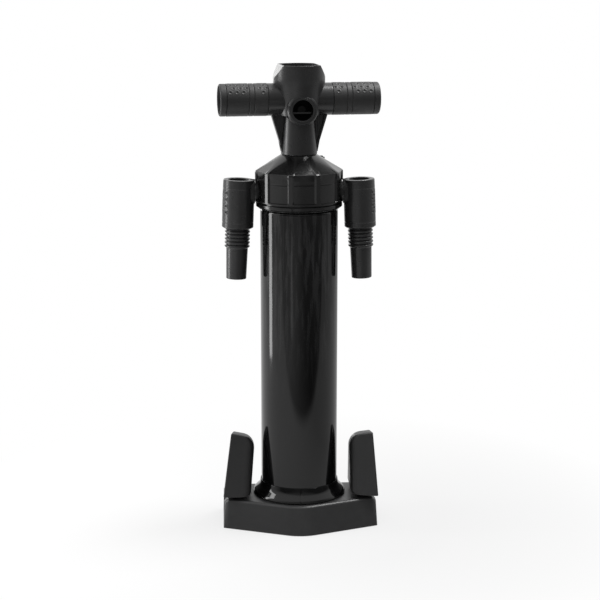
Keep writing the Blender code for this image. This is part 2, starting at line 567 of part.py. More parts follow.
turned("piston_bolt", [(0, PISTON_BOTTOM - 0.0036), (BOLT_HEAD, PISTON_BOTTOM - 0.0036),
                       (BOLT_HEAD, PISTON_BOTTOM - GAP), (BOLT_RADIUS, PISTON_BOTTOM - GAP),
                       (BOLT_RADIUS, BOLT_TOP), (0, BOLT_TOP)], STEEL, 12, parent=handle_axis)
turned("rod_plug", ring(BOLT_HOLE, ROD_BORE - GAP, ROD_BOTTOM + 0.0004, 0.085), STEEL, SMALL_ROUND,
       parent=handle_axis)
turned("piston_bumper", ring(ROD_RADIUS + GAP, 0.017, ROD_BOTTOM, 0.071), RUBBER, 24, parent=handle_axis)
HANDLE_SCREW = 0.0022
rod = turned("rod", ring(ROD_BORE, ROD_RADIUS, ROD_BOTTOM, ROD_TOP), ROD_ALUMINIUM, 24, parent=handle_axis)
combine(rod, "DIFFERENCE", turned_mesh(disc(HANDLE_SCREW + GAP, -0.02, 0), 12, "Y", (0, 0, SOCKET_Z)))

# Handle: hub, neck, gussets and grip cores in one moulding, with a blind socket in front
handle_outline = [(0, HANDLE_NECK_BOTTOM), (HANDLE_COLLAR, HANDLE_NECK_BOTTOM),
                  (HANDLE_NECK, HUB_CONE_BOTTOM),
                  (HUB_CONE_FOOT, HUB_CONE_BOTTOM), (HUB_RADIUS, HUB_CONE_TOP), (HUB_RADIUS, HANDLE_TOP),
                  (0, HANDLE_TOP)]
handle = turned("handle_body", handle_outline, SATIN_BLACK, 32, parent=handle_axis)
for side in (-1, 1):
    flat_run = HUB_RADIUS - HUB_FLAT_TOP
    flat_drop = HANDLE_TOP - HUB_FLAT_BOTTOM
    sliver = [(side * (HUB_FLAT_TOP - flat_run), HANDLE_TOP + flat_drop),
              (side * (HUB_RADIUS + flat_run), HUB_FLAT_BOTTOM - flat_drop),
              (side * 0.040, HUB_FLAT_BOTTOM - flat_drop), (side * 0.040, HANDLE_TOP + flat_drop)]
    combine(handle, "DIFFERENCE", slab_mesh(sliver, -0.030, 0.030, "XZ"), "MANIFOLD")
shoulder_end = GRIP_START - GAP
shoulder = turned_mesh(disc(GRIP_RADIUS - GAP, -shoulder_end, shoulder_end), 20, "X", (0, 0, GRIP_Z))
combine(handle, "UNION", shoulder, "MANIFOLD")
core_end = GRIP_END - GAP
grip_core = turned_mesh(disc(GRIP_CORE, -core_end, core_end), 20, "X", (0, 0, GRIP_Z))
combine(handle, "UNION", grip_core, "MANIFOLD")
half_gusset = [(0.0170, 0.3950), (0.0275, 0.4290), (0.0275, 0.4380)]
gusset = half_gusset + [(-x, z) for x, z in reversed(half_gusset)]
combine(handle, "UNION", slab_mesh(gusset, -0.003, 0.003, "XZ"), "MANIFOLD")
rod_bore = turned_mesh(disc(ROD_RADIUS + GAP, HANDLE_NECK_BOTTOM - 0.001, ROD_TOP + GAP), 22)
combine(handle, "DIFFERENCE", rod_bore, "MANIFOLD")
socket_boss = turned_mesh(disc(SOCKET_RIM, -SOCKET_FRONT, -0.0125), 20, "Y", (0, 0, SOCKET_Z))
combine(handle, "UNION", socket_boss, "MANIFOLD")
socket_cut = turned_mesh(disc(SOCKET_RADIUS, -SOCKET_FRONT - 0.001, -SOCKET_FLOOR), 20, "Y", (0, 0, SOCKET_Z))
combine(handle, "DIFFERENCE", socket_cut, "MANIFOLD")
screw_hole = turned_mesh(disc(HANDLE_SCREW + GAP, -0.02, 0), 12, "Y", (0, 0, SOCKET_Z))
combine(handle, "DIFFERENCE", screw_hole, "MANIFOLD")
PLUG_STEM = 0.0087
PLUG_DEPTH = 0.066
for side in (-1, 1):
    stem_hole = sorted((side * (PLUG_DEPTH - GAP), side * (GRIP_TIP + 0.001)))
    stem_cut = turned_mesh(disc(PLUG_STEM + GAP, *stem_hole), SMALL_ROUND, "X", (0, 0, GRIP_Z))
    combine(handle, "DIFFERENCE", stem_cut, "MANIFOLD")
SCREW_TIP_Y = -0.0060
screw_face = -SOCKET_FLOOR - 0.0025
screw_seat = -SOCKET_FLOOR - GAP
turned("handle_screw", [(0, screw_face), (0.0042, screw_face), (0.0042, screw_seat),
                        (HANDLE_SCREW, screw_seat), (HANDLE_SCREW, SCREW_TIP_Y), (0, SCREW_TIP_Y)],
       STEEL, 12, "Y", (0, 0, SOCKET_Z), handle_axis)

# Grips: grooved soft sleeves on the cores, closed by end plugs
GROOVE_DEPTH = 0.0010
GROOVE_HALF = 0.0009
for name, side in (("left", -1), ("right", 1)):
    sleeve = [(GRIP_CORE + GAP, side * GRIP_START), (GRIP_RADIUS, side * GRIP_START)]
    for groove in (0.0473, 0.0526):
        sleeve += [(GRIP_RADIUS, side * (groove - GROOVE_HALF)), (GRIP_RADIUS - GROOVE_DEPTH, side * groove),
                   (GRIP_RADIUS, side * (groove + GROOVE_HALF))]
    sleeve += [(GRIP_RADIUS, side * GRIP_END), (GRIP_CORE + GAP, side * GRIP_END)]
    turned(f"{name}_grip_sleeve", sleeve, GRIP_BLACK, 20, "X", (0, 0, GRIP_Z), handle_axis)
    plug = [(0, side * PLUG_DEPTH), (PLUG_STEM, side * PLUG_DEPTH), (PLUG_STEM, side * (GRIP_END + GAP)),
            (GRIP_RADIUS, side * (GRIP_END + GAP)), (GRIP_RADIUS, side * (GRIP_TIP - 0.0015)),
            (GRIP_RADIUS - 0.0015, side * GRIP_TIP), (0, side * GRIP_TIP)]
    turned(f"{name}_grip_plug", plug, GRIP_BLACK, 20, "X", (0, 0, GRIP_Z), handle_axis)
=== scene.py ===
"""Looks of a double-action hand pump: a gloss black barrel with a ribbed cap, two hose elbows,
a T-handle with dotted grips, and two folding feet on a matte grey base."""
import math

import bmesh
import bpy
import numpy as np
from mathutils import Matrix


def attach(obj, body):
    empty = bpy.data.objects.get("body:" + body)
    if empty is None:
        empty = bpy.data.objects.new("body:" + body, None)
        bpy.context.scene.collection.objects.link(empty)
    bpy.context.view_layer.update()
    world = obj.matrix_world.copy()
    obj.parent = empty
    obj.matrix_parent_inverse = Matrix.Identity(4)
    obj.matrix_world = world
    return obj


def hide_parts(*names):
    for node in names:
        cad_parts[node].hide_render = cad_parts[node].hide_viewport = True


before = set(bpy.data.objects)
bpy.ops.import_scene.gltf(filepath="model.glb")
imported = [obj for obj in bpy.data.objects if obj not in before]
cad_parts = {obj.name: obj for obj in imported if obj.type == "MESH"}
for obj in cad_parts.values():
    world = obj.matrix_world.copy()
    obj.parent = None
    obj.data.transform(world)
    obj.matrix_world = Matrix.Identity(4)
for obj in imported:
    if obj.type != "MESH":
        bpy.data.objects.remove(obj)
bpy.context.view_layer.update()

# Base: one matte grey moulding with a V nose whose face leans back, and a straight back that bulges
# round the flange. Its ends are rounded about the feet's hinges, and a slot in each takes a foot's lug.
# Sizes here and below are in millimetres.
MM = 0.001
BASE_TOP = 28.4
BASE_BOTTOM = 0.4
BASE_LEAN = 10.5
BASE_END = 80.2
BASE_NOSE = 68.0
BASE_BACK = 26.0
BASE_BULGE = 50.8
BASE_FLARE = np.array([1.0075, 1.004])
FRONT_FILLET = 4.0
BACK_FILLET = 3.0
END_CORNER = 0.8
NOSE_SLOPE = 32.4 / 80.8
NOSE_RADIUS = 40.0
SLOT_START = 58.3
SLOT_HALF_WIDTH = 15.6
SLOT_FLOOR = 8.5
HINGE_X = 67.3
HINGE_Z = 16.0
SHOULDER_RADIUS = 15.0


class Wire:
    """A socket of a node tree. Sums and products with it add Math nodes, so 1 - mask is a Wire too."""

    def __init__(self, socket):
        self.socket = socket

    def node(self, kind, settings=None, inputs=None, output=0):
        """Add a node of that kind, give it its settings, then its inputs, and return one output."""
        made = self.socket.id_data.nodes.new(kind)
        for key, value in (settings or {}).items():
            if key == "stops":
                ramp = made.color_ramp
                for stop, (at, grey) in zip((ramp.elements[0], ramp.elements[1]), value):
                    stop.position = at
                    stop.color = (grey, grey, grey, 1)
            else:
                setattr(made, key, value)
        feed(made, inputs or {})
        return Wire(made.outputs[output])

    def math(self, operation, *values):
        """A Math node on two values, either of which may be a plain number."""
        return self.node("ShaderNodeMath", {"operation": operation}, dict(enumerate(values)))

    def mix(self, low, high):
        """A colour that goes from low to high as this value goes from 0 to 1."""
        colours = {0: self, 6: (*low, 1), 7: (*high, 1)}
        return self.node("ShaderNodeMix", {"data_type": "RGBA"}, colours, 2)

    def noise(self, scale, detail=3.0, spread=0.55):
        """Noise on these coordinates, from 0 to 1, with scale waves to the metre."""
        return self.node("ShaderNodeTexNoise", {}, {"Vector": self, "Scale": scale, "Detail": detail,
                                                    "Roughness": spread})

    def ramp(self, low, high):
        """0 below low, 1 above high, and a straight slope between them."""
        return self.node("ShaderNodeValToRGB", {"stops": [(low, 0.0), (high, 1.0)]}, {0: self})

    def __add__(self, other):
        return self.math("ADD", self, other)

    def __sub__(self, other):
        return self.math("SUBTRACT", self, other)

    def __rsub__(self, other):
        return self.math("SUBTRACT", other, self)

    def __mul__(self, other):
        return self.math("MULTIPLY", self, other)

    __radd__ = __add__
    __rmul__ = __mul__


def feed(node, inputs):
    """Give a node's sockets their links and plain values."""
    for key, value in inputs.items():
        if isinstance(value, Wire):
            node.id_data.links.new(value.socket, node.inputs[key])
        else:
            node.inputs[key].default_value = value


def moulded(name, dark, light, roughness, grain, depth, shine=0.5):
    """Moulded plastic: a colour that drifts between two close shades over a few centimetres, a
    roughness that wanders by a fifth, and a fine grain of the given pitch and depth in millimetres."""
    material = bpy.data.materials.new(name)
    material.use_nodes = True
    shader = material.node_tree.nodes["Principled BSDF"]
    place = Wire(material.node_tree.nodes.new("ShaderNodeTexCoord").outputs["Object"])
    drift = place.noise(38.0, 4.0)
    fine = place.noise(1.0 / (grain * MM), 2.0)
    polish = place.noise(160.0, 3.0)
    skin = fine.node("ShaderNodeBump", {}, {"Strength": 0.35, "Distance": depth * MM, "Height": fine})
    feed(shader, {"Base Color": (drift * 0.7 + fine * 0.3).ramp(0.3, 0.7).mix(dark, light),
                  "Roughness": roughness * 0.8 + polish * (roughness * 0.4),
                  "Normal": skin, "Specular IOR Level": shine})
    return material


def spread(*runs):
    """Grid lines: each run (start, end, count) is evenly spaced, and two runs that meet share a value."""
    return np.concatenate([np.linspace(*run) for run in runs])


def shell(name, grids, finish, crease=32.0):
    """One mesh from grids of points in millimetres (rows x columns x 3). Neighbours on a grid become
    quads, points that meet are merged, and every closed skin faces outwards."""
    points = []
    quads = []
    count = 0
    for grid in grids:
        rows, columns = grid.shape[:2]
        index = np.arange(rows * columns).reshape(rows, columns) + count
        corners = (index[:-1, :-1], index[:-1, 1:], index[1:, 1:], index[1:, :-1])
        quads.append(np.stack(corners, -1).reshape(-1, 4))
        points.append(grid.reshape(-1, 3) * MM)
        count += rows * columns
    mesh = bpy.data.meshes.new(name)
    mesh.from_pydata(np.concatenate(points).tolist(), [], np.concatenate(quads).tolist())
    bm = bmesh.new()
    bm.from_mesh(mesh)
    bmesh.ops.remove_doubles(bm, verts=bm.verts, dist=2e-6)
    bmesh.ops.delete(bm, geom=[edge for edge in bm.edges if not edge.link_faces], context="EDGES")
    bmesh.ops.recalc_face_normals(bm, faces=bm.faces)
    bm.to_mesh(mesh)
    bm.free()
    mesh.shade_smooth()
    mesh.set_sharp_from_angle(angle=math.radians(crease))
    mesh.materials.append(finish)
    made = bpy.data.objects.new(name, mesh)
    bpy.context.scene.collection.objects.link(made)
    return made


def fit(piece, body, slot, *nodes):
    """The piece rides on a body and stands for CAD nodes, which are hidden. The slot is not used."""
    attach(piece, body)
    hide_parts(*nodes)


def softer_of(first, second, blend):
    """The lower of two surfaces, with the crease between them rounded over about blend."""
    return -blend * np.logaddexp(-first / blend, -second / blend)


def base_edges(x):
    """How far the base reaches to the front and to the back at x: a straight V whose point is a
    circle, a straight back with a round bulge, and rounded end corners."""
    across = np.abs(x)
    tilt = math.atan(NOSE_SLOPE)
    turn = NOSE_RADIUS * math.sin(tilt)
    centre = BASE_NOSE - NOSE_SLOPE * turn - NOSE_RADIUS * math.cos(tilt)
    point = centre + np.sqrt(NOSE_RADIUS ** 2 - np.minimum(across, turn) ** 2)
    front = np.where(across < turn, point, BASE_NOSE - NOSE_SLOPE * across)
    bulge = np.sqrt(np.maximum(BASE_BULGE ** 2 - across ** 2, 0))
    corner = np.clip(across - (BASE_END - END_CORNER), 0, END_CORNER)
    cut = END_CORNER - np.sqrt(np.maximum(END_CORNER ** 2 - corner ** 2, 0))
    return front - cut, np.maximum(bulge, BASE_BACK) - cut


def base_grids():
    """The top is a height over x and y: flat, less a fillet along the front and back, never above a
    circle about each hinge, and dropped to a floor inside the slots. The walls run from its rim to a
    wider rim below, so that the front leans back, and the underside closes it."""
    x_lines = spread((-BASE_END, -SLOT_START, 40), (-SLOT_START, SLOT_START, 119), (SLOT_START, BASE_END, 40))
    in_slot_x = np.abs(np.arange(x_lines.size) - 99) > 59
    rim = 1 - spread((1, 0, 40)) ** 1.6
    y_part = np.concatenate([-1 - rim[::-1], np.linspace(-1, 1, 15), 1 + rim])
    in_slot_y = np.abs(np.arange(y_part.size) - 47) < 8
    x, part = np.meshgrid(x_lines, y_part, indexing="ij")
    front, back = base_edges(x)
    deep = np.where(part < 0, front - BASE_LEAN, back)
    middle = np.sign(part) * np.minimum(np.abs(part), 1) * SLOT_HALF_WIDTH
    outer = np.sign(part) * np.clip(np.abs(part) - 1, 0, 1)
    y = middle + outer * (deep - SLOT_HALF_WIDTH)
    foot_y = middle + outer * (np.where(part < 0, front, back) - SLOT_HALF_WIDTH)
    fillet = np.where(part < 0, FRONT_FILLET, BACK_FILLET)
    bend = np.where(part < 0, math.cos(math.atan(BASE_LEAN / BASE_TOP)), 1.0) * fillet
    inset = (deep - np.abs(y)) / np.where(part < 0, math.hypot(1, NOSE_SLOPE), 1.0)
    into_edge = np.clip(bend - inset, 0, bend)
    drop = fillet - np.sqrt(fillet ** 2 - into_edge ** 2)
    from_hinge = np.maximum(np.abs(x) - HINGE_X, 0)
    shoulder = HINGE_Z + np.sqrt(SHOULDER_RADIUS ** 2 - from_hinge ** 2)
    z = softer_of(BASE_TOP + 0 * x, shoulder, 0.3) - drop
    z = np.where(in_slot_x[:, None] & in_slot_y[None, :], SLOT_FLOOR, z)
    top = np.stack([x, y, z], -1)
    under = np.stack([x * BASE_FLARE[0], foot_y * BASE_FLARE[1], np.full_like(z, BASE_BOTTOM)], -1)
    down = np.array([0, 0.04, 0.3, 0.7, 0.96, 1.0])[:, None, None]
    walls = []
    for edge in ((0, slice(None)), (-1, slice(None)), (slice(None), 0), (slice(None), -1)):
        walls.append(top[edge] * (1 - down) + under[edge] * down)
    return [top, under, *walls]


base_grey = moulded("base_grey_moulding", (0.020, 0.020, 0.0205), (0.026, 0.026, 0.0265), 0.38, 0.9, 0.05)
base = shell("base_moulding", base_grids(), base_grey, 40.0)
fit(base, "pump_body", "base_grey", "base")
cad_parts["base_plate"].data.materials[0] = base_grey

# Base plate and fastenings: four steel screws hold the plate under the base, and a steel pin goes
# through each foot's lug. They are cut from drawn wire and left bright.


def bare_metal(name, dark, light, roughness, lines):
    """Bare metal: fine turned lines across Z, lines to the metre, that change its shade, its
    roughness and its surface, with a slower cloud over them."""
    material = bpy.data.materials.new(name)
    material.use_nodes = True
    shader = material.node_tree.nodes["Principled BSDF"]
    place = Wire(material.node_tree.nodes.new("ShaderNodeTexCoord").outputs["Object"])
    stretched = place.node("ShaderNodeMapping", {}, {"Vector": place, "Scale": (0.06, 0.06, 1.0)})
    turning = stretched.noise(lines, 2.0)
    cloud = place.noise(70.0, 4.0)
    scored = turning.node("ShaderNodeBump", {}, {"Strength": 0.15, "Distance": 0.02 * MM, "Height": turning})
    feed(shader, {"Base Color": (turning * 0.5 + cloud * 0.5).ramp(0.3, 0.7).mix(dark, light),
                  "Roughness": roughness * 0.7 + cloud * (roughness * 0.6),
                  "Metallic": 1.0, "Normal": scored})
    return material


bright_steel = bare_metal("bright_steel", (0.42, 0.42, 0.43), (0.58, 0.58, 0.59), 0.32, 5200.0)
for node in (*(f"base_screw_{number}" for number in range(1, 5)), "left_hinge_pin", "right_hinge_pin"):
    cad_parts[node].data.materials[0] = bright_steel

# Feet: folding treads in the base's grey plastic. Each is a wedge, deep at the heel and narrow at
# the tip, rounded on the side that is trodden on, with a lug below that turns on its pin.
FOOT_HEEL = 15.9
FOOT_TIP = 75.5
FOOT_SOLE = 15.7
FOOT_TREAD = 13.1
FOOT_TAPER = 2.7
FOOT_FILLET = 1.2
TIP_ROUND = (10.5, 13.0)
HEEL_ROUND = (3.0, 4.0)
FOOT_LEAN = {"left": 8.0, "right": -3.5}


def rounded(outline, radius, steps=5):
    """Closed outlines (... x corners x 2) whose corners are drawn back by radius and bridged by
    parabolas, with one more point on each side so that flat stretches stay flat when shaded."""
    corner = np.asarray(outline, float)
    before = np.roll(corner, 1, -2) - corner
    after = np.roll(corner, -1, -2) - corner
    run_before = np.linalg.norm(before, axis=-1)
    run_after = np.linalg.norm(after, axis=-1)
    back = np.minimum(radius, 0.4 * np.minimum(run_before, run_after))[..., None, None]
    before = (before / run_before[..., None])[..., None, :]
    after = (after / run_after[..., None])[..., None, :]
    along = np.linspace(0, 1, steps + 1)[:, None]
    arc = (1 - along) ** 2 * before * back + along ** 2 * after * back
    bend = np.concatenate([before * back * 1.2, arc, after * back * 1.2], -2) + corner[..., None, :]
    return bend.reshape(*corner.shape[:-2], -1, 2)


def looped(points):
    """The same points with the first repeated at the end, so that a grid made of them closes."""
    return np.concatenate([points, points[..., :1, :]], -2)


def lofted(outlines, heights):
    """A stack of closed outlines, one at each height along Z, with both ends closed at their middle."""
    ring = looped(outlines)
    level = np.broadcast_to(np.asarray(heights, float)[:, None, None], (*ring.shape[:2], 1))
    stack = np.concatenate([ring, level], -1)
    middles = np.broadcast_to(stack.mean(1, keepdims=True), stack.shape)
    return np.concatenate([middles[:1], stack, middles[-1:]], 0)


def swung(grid, degrees, axis):
    """The grid turned about X, Y or Z through the origin, anticlockwise as seen from the axis's end."""
    first, second = {"X": (1, 2), "Y": (2, 0), "Z": (0, 1)}[axis]
    cosine, sine = math.cos(math.radians(degrees)), math.sin(math.radians(degrees))
    turned_grid = grid.copy()
    turned_grid[..., first] = grid[..., first] * cosine - grid[..., second] * sine
    turned_grid[..., second] = grid[..., first] * sine + grid[..., second] * cosine
    return turned_grid


def foot_grid(side):
    """A rounded rectangle lofted from heel to tip. Its depth shrinks in a straight line, its tread
    side follows an ellipse at each end, and its first and last outlines are drawn in as a fillet. A shear
    then slants the heel down towards the sole and the tip up: z + outwards * slope."""
    height = spread((0, 0.02, 4), (0.03, 0.10, 8), (0.13, 0.80, 10), (0.82, 0.98, 16), (0.985, 1.0, 5))
    height = FOOT_HEEL + (FOOT_TIP - FOOT_HEEL) * height
    rise = (height - FOOT_HEEL) / (FOOT_TIP - FOOT_HEEL)
    tip_part = np.clip((height - FOOT_TIP + TIP_ROUND[1]) / TIP_ROUND[1], 0, 1)
    heel_part = np.clip((FOOT_HEEL + HEEL_ROUND[1] - height) / HEEL_ROUND[1], 0, 1)
    tread = FOOT_TREAD - FOOT_TAPER * rise
    tread = tread - TIP_ROUND[0] * (1 - np.sqrt(1 - tip_part ** 2))
    tread = tread - HEEL_ROUND[0] * (1 - np.sqrt(1 - heel_part ** 2))
    from_end = np.minimum(height - FOOT_HEEL, FOOT_TIP - height)
    short_of = np.clip(FOOT_FILLET - from_end, 0, FOOT_FILLET)
    draw_in = FOOT_FILLET - np.sqrt(FOOT_FILLET ** 2 - short_of ** 2)
    inner = -(tread - draw_in)
    outer = FOOT_SOLE - draw_in
    front = -(32.0 - 25.8 * rise - draw_in)
    back = 24.5 - 18.3 * rise - draw_in
    corners = np.stack([np.stack([inner, front], -1), np.stack([outer, front], -1),
                        np.stack([outer - FOOT_TAPER, back], -1), np.stack([inner, back], -1)], 1)
    outlines = rounded(corners, np.array([9.0, 1.4, 1.4, 9.0]), 8)
    grid = lofted(outlines, height)
    rise = (grid[..., 2] - FOOT_HEEL) / (FOOT_TIP - FOOT_HEEL)
    grid[..., 2] += grid[..., 0] * (0.197 * rise - 0.139)
    return grid * (side, 1, 1)


def turned(outline, columns=128):
    """A closed outline (radius, height) swung round Z: x = r cos a, y = r sin a, z = height."""
    ring = looped(np.asarray(outline, float))
    angle = np.linspace(0, 2 * math.pi, columns + 1)
    radius = ring[:, :1]
    height = np.broadcast_to(ring[:, 1:], (ring.shape[0], columns + 1))
    return np.stack([radius * np.cos(angle), radius * np.sin(angle), height], -1)


def axled(outline, radius):
    """A rounded outline whose points on the axis stay sharp."""
    corner = np.asarray(outline, float)
    return rounded(corner, np.where(corner[:, 0] < 1e-6, 0.0, radius))


ALONG_X = [2, 0, 1]
ALONG_Y = [0, 2, 1]
lug_block = np.array([[(-6.4, -15), (6.4, -15), (6.4, 15), (-6.4, 15)]] * 2)
lug_barrel = turned(axled([(0, -15), (6.5, -15), (6.5, 15), (0, 15)], 0.8), 64)[..., ALONG_Y]
for name, side in (("left", -1), ("right", 1)):
    local = [foot_grid(side), lug_barrel, lofted(rounded(lug_block, 0.8), (0.0, 19.0))]
    hinge = np.array([side * HINGE_X, 0, HINGE_Z])
    leaning = [swung(grid, FOOT_LEAN[name], "Y") + hinge for grid in local]
    foot = shell(f"{name}_foot_tread", leaning, base_grey, 40.0)
    fit(foot, f"{name}_foot", "base_grey", f"{name}_foot")

# Flange: glossy flared ring that seats the barrel on the base. It is moulded in two halves, so a
# fine parting line runs down its front and its back.


def lacquered(name, dark, light, roughness):
    """Polished black: nearly mirror-smooth, with a long shallow waviness up and down that makes
    reflections waver, upright lighter stripes painted into its colour as painted reflections, which fade
    out towards the foot, and a faint haze of fine scuffs in its roughness."""
    material = bpy.data.materials.new(name)
    material.use_nodes = True
    shader = material.node_tree.nodes["Principled BSDF"]
    place = Wire(material.node_tree.nodes.new("ShaderNodeTexCoord").outputs["Object"])
    height = place.node("ShaderNodeSeparateXYZ", {}, {0: place}, 2)
    drawn = place.node("ShaderNodeMapping", {}, {"Vector": place, "Scale": (1.0, 1.0, 0.10)})
    wave = drawn.noise(95.0, 2.0)
    haze = place.noise(420.0, 4.0)
    # Painted reflections: upright lighter stripes in the colour, fading out towards the foot.
    painted_reflection_streaks = drawn.noise(260.0, 3.0).ramp(0.46, 0.60) * height.ramp(0.14, 0.28)
    upper = height.ramp(0.16, 0.30)
    swell = wave * (0.35 + upper * 0.5) + drawn.noise(330.0, 2.0) * upper * 0.22
    ripple = wave.node("ShaderNodeBump", {}, {"Strength": 0.36, "Distance": 0.25 * MM, "Height": swell})
    feed(shader, {"Base Color": (painted_reflection_streaks * 0.9 + haze * 0.1).mix(dark, light),
                  "Roughness": roughness * 0.7 + haze * (roughness * 0.6),
                  "Normal": ripple, "IOR": 1.43})
    return material


# Its lighter shade is the colour of the painted reflection stripes.
gloss_black = lacquered("gloss_black_lacquer", (0.0015, 0.0015, 0.0016), (0.026, 0.026, 0.0265), 0.07)
PARTING_DEPTH = 0.014
flange_outline = rounded([(34, 28.7), (48.3, 28.7), (48.8, 30.0), (47.8, 31.8), (42.2, 37.6), (40.8, 43.4),
                          (40.3, 43.4), (40.3, 32.7), (34, 32.7)],
                         np.array([.2, .6, .7, 1.2, 5, .2, .1, .2, .2]), 8)
flange_grid = turned(flange_outline, 360)
parting = np.minimum(np.abs(np.arange(361) - 90), np.abs(np.arange(361) - 270)) < 0.5
flange_grid[..., :2] *= 1 - PARTING_DEPTH * parting[None, :, None]
flange = shell("flange_ring", [flange_grid], gloss_black, 45.0)
fit(flange, "pump_body", "gloss_black", "foot_flange")

# Barrel: straight tube with a polished black outside, pressed into the flange below and closed by
# the cap above. Its foot is only slightly broken, and its top is rounded in a small shoulder.
barrel_outline = rounded([(37.5, 33.0), (40.0, 33.0), (40.0, 330.6), (39.5, 332.2), (38.4, 333.2),
                          (37.5, 333.4)], np.array([0.5, 0.5, 0.8, 0.6, 0.5, 0.2]))
barrel = shell("barrel_tube", [turned(barrel_outline, 256)], gloss_black, 40.0)
fit(barrel, "pump_body", "gloss_black", "barrel")

# Inside the barrel: a liner, valve blocks and discs in pale plastic, rubber gaskets and seals, and
# a piston on its bolt. They are packed as they are, and only get their finishes here.
pale_plastic = moulded("pale_inner_plastic", (0.50, 0.50, 0.48), (0.58, 0.58, 0.56), 0.45, 1.2, 0.04)
soft_rubber = moulded("soft_rubber", (0.010, 0.010, 0.010), (0.017, 0.017, 0.017), 0.75, 0.5, 0.06)
for node in ("cylinder_liner", "bottom_valve_block", "top_valve_plate", "rod_bush", "piston_upper",
             "piston_lower"):
    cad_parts[node].data.materials[0] = pale_plastic
for node in ("bottom_gasket", "cap_gasket", "rod_seal", "piston_seal", "piston_bumper", "left_elbow_seal",
             "right_elbow_seal", "bottom_delivery_valve", "bottom_suction_valve", "top_delivery_valve",
             "top_suction_valve"):
    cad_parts[node].data.materials[0] = soft_rubber
for node in ("piston_bolt", "rod_plug"):
    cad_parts[node].data.materials[0] = bright_steel

# Collar: thin locking ring under the cap, as glossy as the barrel. It slopes out to a bead at its
# foot, and carries a small pointer that reaches up over the cap's rim in front.
POINTER_X = -9.0


def refined(outline, step, start=0.0, end=math.inf):
    """The same closed outline with points added, so that no stretch is longer than step between two
    distances along it."""
    ring = looped(outline)
    run = np.concatenate([[0.0], np.cumsum(np.linalg.norm(np.diff(ring, axis=0), axis=1))])
    added = np.arange(0.0, run[-1], step)
    at = np.union1d(run, added[(added > start) & (added < end)])[:-1]
    return np.stack([np.interp(at, run, ring[:, 0]), np.interp(at, run, ring[:, 1])], -1)


def plate(outline, low, high, edge):
    """A closed outline (x, z) carried along Y from low to high. Its first and last copies are drawn
    towards their middle by about edge, and the ends are closed."""
    ring = np.asarray(outline, float)
    middle = ring.mean(0)
    smaller = middle + (ring - middle) * (1 - edge / np.abs(ring - middle).max())
    stack = lofted(np.stack([smaller, ring, ring, smaller]), (low, low + edge, high - edge, high))
    return stack[..., ALONG_Y]


collar_outline = rounded([(40.3, 334.0), (41.9, 334.0), (42.3, 334.6), (41.3, 335.6), (40.3, 335.6)],
                         np.array([0.2, 0.3, 0.4, 0.3, 0.1]))
pointer = rounded([(POINTER_X - 1.9, 339.0), (POINTER_X + 1.9, 339.0), (POINTER_X, 335.9)], 0.3)
collar_grids = [turned(collar_outline, 192), plate(pointer, -44.5, -41.0, 0.25)]
collar = shell("cap_collar_ring", collar_grids, gloss_black, 40.0)
fit(collar, "pump_body", "gloss_black", "cap_collar")

# Cap: moulded in semi-gloss black. A cone with ten flat panels pressed into it leaves ten ribs for
# the hand, and above each panel a sloping flat meets the cone in an arch. Elbows plug in each side.
CAP_RADIUS = 45.3
CAP_TOP = 388.4
CAP_EAVES = 372.0
CAP_PANEL = 42.9
CAP_PANEL_BOW = 0.6
CAP_PANEL_FOOT = 342.7
CAP_TURN = 4.5
CAP_PANEL_PITCH = 1.44
CAP_SCORE = 361.7
RIB_HALF = 2.5
RIB_FLANK = 1.9
PORT_Z = 350.5
PORT_HOLE = 11.6
PLUG_AT = np.array([20.0, 26.0, 0.0])
PLUG_SEAT = 379.0


def ribbed(outline):
    """An outline (radius, height) swung round Z. Between ribs the radius is no more than that of a
    panel: distance / cos(angle from its middle) where it is flat, which leans in above the eaves, and
    nearer to a constant distance below them, where the panel bows out."""
    rib = np.linspace(-RIB_HALF, RIB_HALF, 7)
    panel = np.linspace(RIB_HALF + RIB_FLANK, 36 - RIB_HALF - RIB_FLANK, 29)
    period = np.concatenate([rib, panel])
    offset = np.tile(period, 10)
    pressed = np.append(np.tile(np.arange(period.size) >= rib.size, 10), False)
    angle = np.append(offset + np.repeat(np.arange(10) * 36.0, period.size), 360.0 - RIB_HALF)
    from_middle = np.radians(np.append(offset, -RIB_HALF) - 18.0)
    radius = np.broadcast_to(outline[:, :1], (outline.shape[0], angle.size))
    height = np.broadcast_to(outline[:, 1:], radius.shape)
    lean = softer_of(0.0 * height, CAP_PANEL_PITCH * (CAP_EAVES - height), 0.25)
    score = 0.16 * np.exp(-((height - CAP_SCORE) / 0.3) ** 2)
    bow = CAP_PANEL_BOW * np.clip((CAP_EAVES - height) / 6.0, 0, 1)
    flat = (CAP_PANEL + lean - score) * (bow + (1 - bow) / np.cos(from_middle))
    cut = softer_of(radius, flat, 0.2)
    radius = np.where(pressed & (height > CAP_PANEL_FOOT), cut, radius)
    turn = np.radians(angle + CAP_TURN)
    return np.stack([radius * np.cos(turn), radius * np.sin(turn), height], -1)


def carved(piece, operation, grids):
    """The piece after a Boolean with a closed shell made from grids."""
    tool = shell("tool", grids, piece.data.materials[0])
    step = piece.modifiers.new("carve", "BOOLEAN")
    step.operation = operation
    step.solver = "EXACT"
    step.object = tool
    result = piece.evaluated_get(bpy.context.evaluated_depsgraph_get())
    piece.data = bpy.data.meshes.new_from_object(result)
    piece.modifiers.clear()
    bpy.data.objects.remove(tool, do_unlink=True)
    piece.data.shade_smooth()
    piece.data.set_sharp_from_angle(angle=math.radians(32))


